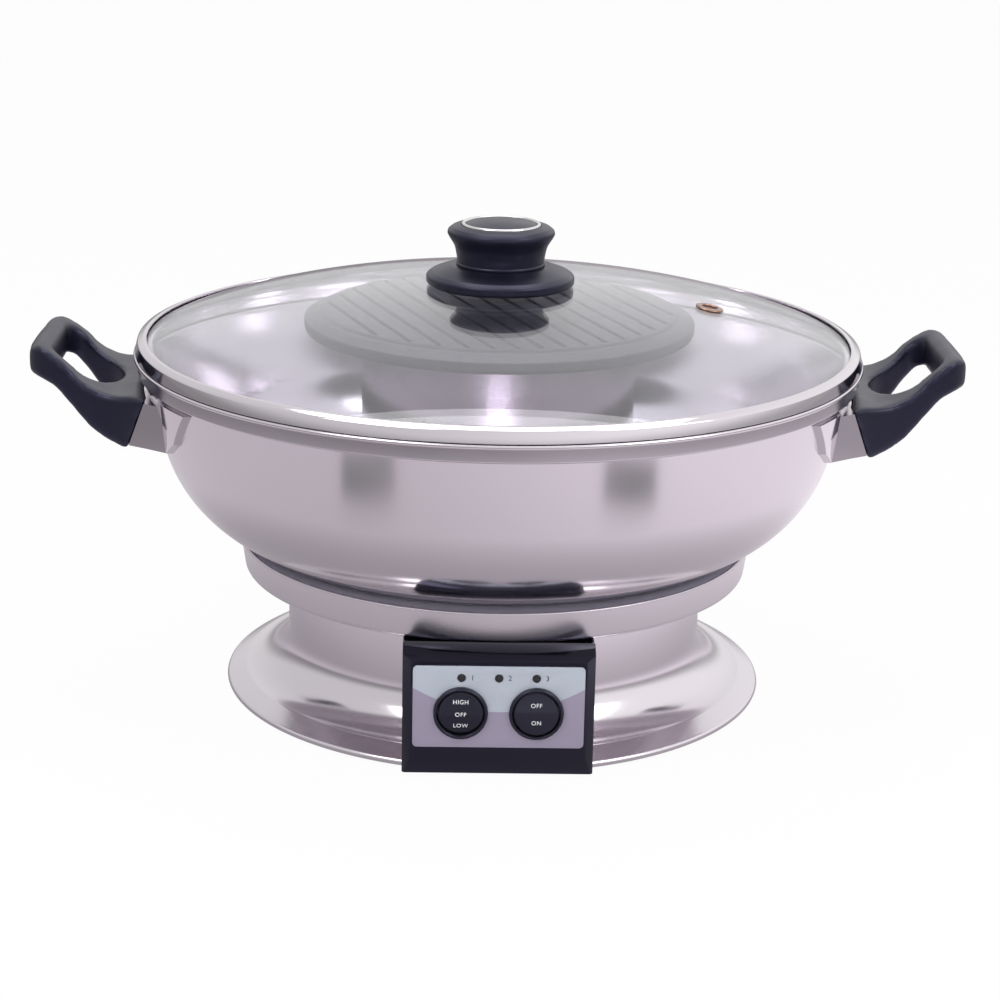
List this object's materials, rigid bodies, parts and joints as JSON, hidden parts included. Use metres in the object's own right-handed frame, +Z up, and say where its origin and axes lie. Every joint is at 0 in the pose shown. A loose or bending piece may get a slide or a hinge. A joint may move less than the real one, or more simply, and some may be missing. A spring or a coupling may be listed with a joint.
{
  "type": "electric hot pot",
  "caption": "Round electric hot pot: steel bowl with a central grill on a chimney, domed glass lid, two loop handles, steel stand and a front switch box.",
  "frame": {"origin": "on the table, at the centre of the object's box, under the pot's axis", "axes": "+Z up; +X towards the right-hand loop handle, which is the longest extent; the switch box faces -Y"},
  "size_m": [0.424, 0.33, 0.2178],
  "materials": {
    "polished_steel": "mirror-polished stainless steel",
    "zinc_steel": "zinc-coated steel",
    "foot_rubber": "moulded rubber",
    "seal_rubber": "moulded silicone",
    "screw_steel": "plated",
    "black_abs": "moulded, semi-gloss",
    "label_sheet": "printed satin film",
    "dark_lens": "gloss, unlit",
    "heater_tube": "oxidised sheath",
    "sensor_brass": "brushed",
    "ceramic": "glazed ceramic",
    "lead_silicone": "silicone sleeve",
    "bakelite": "moulded phenolic, satin",
    "cast_nonstick": "cast, non-stick coated",
    "lid_glass": "clear tempered glass",
    "bright_chrome": "polished"
  },
  "bodies": {
    "base": {"base_shell": "polished_steel", "bottom_cover": "zinc_steel", "collar_band": "polished_steel", "collar_screws": "screw_steel", "control_bezel": "black_abs", "control_label": "label_sheet", "cover_screws": "screw_steel", "deck_plate": "zinc_steel", "grill_column": "zinc_steel", "grill_heat_reflector": "zinc_steel", "grill_heater": "heater_tube", "grill_heater_clamps": "zinc_steel", "grill_switch_body": "black_abs", "heat_switch_body": "black_abs", "inlet_housing": "black_abs", "inlet_pins": "screw_steel", "inlet_screws": "screw_steel", "internal_leads": "lead_silicone", "lamp_holders": "black_abs", "lamp_lens_left": "dark_lens", "lamp_lens_middle": "dark_lens", "lamp_lens_right": "dark_lens", "rubber_feet": "foot_rubber", "seat_ring": "polished_steel", "soup_heat_reflector": "zinc_steel", "soup_heater": "heater_tube", "soup_heater_clamps": "zinc_steel", "support_posts": "screw_steel", "terminal_block": "ceramic", "terminal_screws": "screw_steel", "thermal_fuse": "sensor_brass", "thermostat": "sensor_brass", "thermostat_bracket": "zinc_steel"},
    "pot": {"chimney_tube": "polished_steel", "handle_bracket_left": "polished_steel", "handle_bracket_right": "polished_steel", "handle_ferrule_left": "polished_steel", "handle_ferrule_right": "polished_steel", "handle_left": "bakelite", "handle_right": "bakelite", "handle_screws_left": "screw_steel", "handle_screws_right": "screw_steel", "pot_bowl": "polished_steel"},
    "grill": {"grill_plate": "cast_nonstick"},
    "grill_rocker": {"grill_rocker": "black_abs"},
    "heat_rocker": {"heat_rocker": "black_abs"},
    "lid": {"knob_base": "bakelite", "knob_cap": "bakelite", "knob_grip": "bakelite", "knob_ring": "bright_chrome", "knob_screw": "screw_steel", "knob_washer": "seal_rubber", "lid_band": "polished_steel", "lid_glass": "lid_glass", "vent_grommet": "bright_chrome"}
  },
  "joints": [
    {"name": "pot_lift", "type": "slide", "parent": "base", "child": "pot", "axis": [0, 0, 1], "range_m": [0, 0.12]},
    {"name": "grill_lift", "type": "slide", "parent": "pot", "child": "grill", "axis": [0, 0, 1], "range_m": [0, 0.08]},
    {"name": "lid_lift", "type": "slide", "parent": "grill", "child": "lid", "axis": [0, 0, 1], "range_m": [0, 0.12]},
    {"name": "heat_rocker_turn", "type": "hinge", "parent": "base", "child": "heat_rocker", "pos_m": [-0.016, -0.1276, 0.031], "axis": [1, 0, 0], "range_deg": [-12, 12]},
    {"name": "grill_rocker_turn", "type": "hinge", "parent": "base", "child": "grill_rocker", "pos_m": [0.016, -0.1276, 0.031], "axis": [1, 0, 0], "range_deg": [0, 24]}
  ]
}
